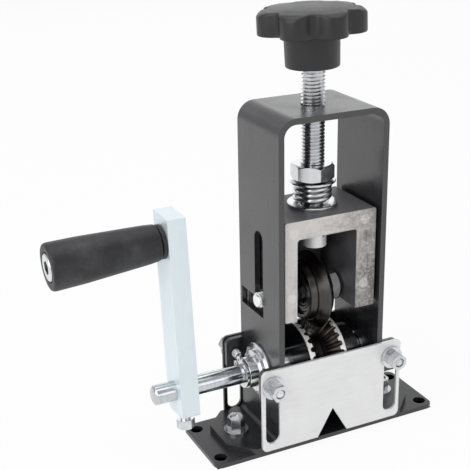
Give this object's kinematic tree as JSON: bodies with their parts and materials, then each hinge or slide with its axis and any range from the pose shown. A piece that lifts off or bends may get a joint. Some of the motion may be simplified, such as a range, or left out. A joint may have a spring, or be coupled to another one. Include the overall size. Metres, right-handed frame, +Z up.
{
  "type": "hand crank wire stripper",
  "caption": "Hand crank wire stripper: bent steel frame on a base plate, grooved feed roller on a crank, cutting wheel on a slider pressed down by a star knob screw.",
  "frame": {"origin": "centre of the four base holes, on the underside of the base plate", "axes": "+X along the crank shaft away from the handle, +Y the way the wire runs to the back, +Z up along the adjusting screw"},
  "size_m": [0.1987, 0.063, 0.2194],
  "materials": {
    "black_paint": "semi-gloss black coat",
    "bright_plate": "pale brushed steel",
    "zinc": "bright zinc plating",
    "polished_steel": "polished steel",
    "spring_steel": "bright spring steel",
    "dark_steel": "dark hardened tool steel, polished rims",
    "pale_zinc": "pale bluish zinc coat",
    "cast_metal": "matt die-cast metal",
    "black_plastic": "satin black plastic",
    "black_rubber": "mottled matt black"
  },
  "bodies": {
    "stand": {"base_plate": "black_paint", "frame": "black_paint", "foot_bolts": "zinc", "front_guide_studs": "zinc", "front_guide_nuts": "zinc", "rear_guide_studs": "zinc", "rear_guide_nuts": "zinc", "bushing_left": "zinc", "bushing_right": "zinc"},
    "front_guide": {"front_guide_plate": "bright_plate"},
    "rear_guide": {"rear_guide_plate": "black_paint"},
    "slider": {"slider_block": "cast_metal", "blade_axle_bolt": "zinc", "axle_lock_nut": "zinc", "blade_spacer_left": "polished_steel", "blade_spacer_right": "polished_steel", "bearing_inner_ring": "polished_steel", "lower_washer": "zinc", "pressure_spring": "spring_steel", "upper_washer": "zinc", "screw_retaining_pin": "spring_steel"},
    "blade": {"blade_wheel": "dark_steel", "bearing_outer_ring": "polished_steel", "bearing_balls": "polished_steel"},
    "screw": {"adjusting_screw": "zinc", "lock_nut": "zinc", "star_knob": "black_plastic", "knob_insert": "polished_steel"},
    "crank": {"crank_shaft": "polished_steel", "shaft_ring_left": "spring_steel", "shaft_ring_right": "spring_steel", "feed_roller_left": "dark_steel", "feed_roller_right": "dark_steel", "roller_set_screw": "dark_steel", "roller_spacer_left": "polished_steel", "roller_spacer_right": "polished_steel", "crank_arm": "pale_zinc", "arm_set_screw": "zinc", "grip_bolt": "zinc", "grip_collar": "black_plastic"},
    "handle": {"grip": "black_rubber"}
  },
  "joints": [
    {"name": "front_guide_slide", "type": "slide", "parent": "stand", "child": "front_guide", "axis": [0, 0, 1], "range_m": [0, 0.028]},
    {"name": "rear_guide_slide", "type": "slide", "parent": "stand", "child": "rear_guide", "axis": [0, 0, 1], "range_m": [0, 0.028]},
    {"name": "slider_slide", "type": "slide", "parent": "stand", "child": "slider", "axis": [0, 0, 1], "range_m": [-0.002, 0.025]},
    {"name": "blade_spin", "type": "hinge", "parent": "slider", "child": "blade", "pos_m": [0, 0, 0.0763], "axis": [1, 0, 0], "continuous": true},
    {"name": "screw_turn", "type": "hinge", "parent": "slider", "child": "screw", "pos_m": [0, 0, 0.17], "axis": [0, 0, 1], "range_deg": [-412, 5144]},
    {"name": "crank_turn", "type": "hinge", "parent": "stand", "child": "crank", "pos_m": [0, 0, 0.0376], "axis": [1, 0, 0], "continuous": true},
    {"name": "grip_turn", "type": "hinge", "parent": "crank", "child": "handle", "pos_m": [-0.0774, 0.00736, 0.11405], "axis": [0.999, 0.0042, 0.0434], "continuous": true}
  ],
  "couplings": [
    {"joint": "screw_turn", "follows": "slider_slide", "rad_per_m": 3590.4}
  ]
}
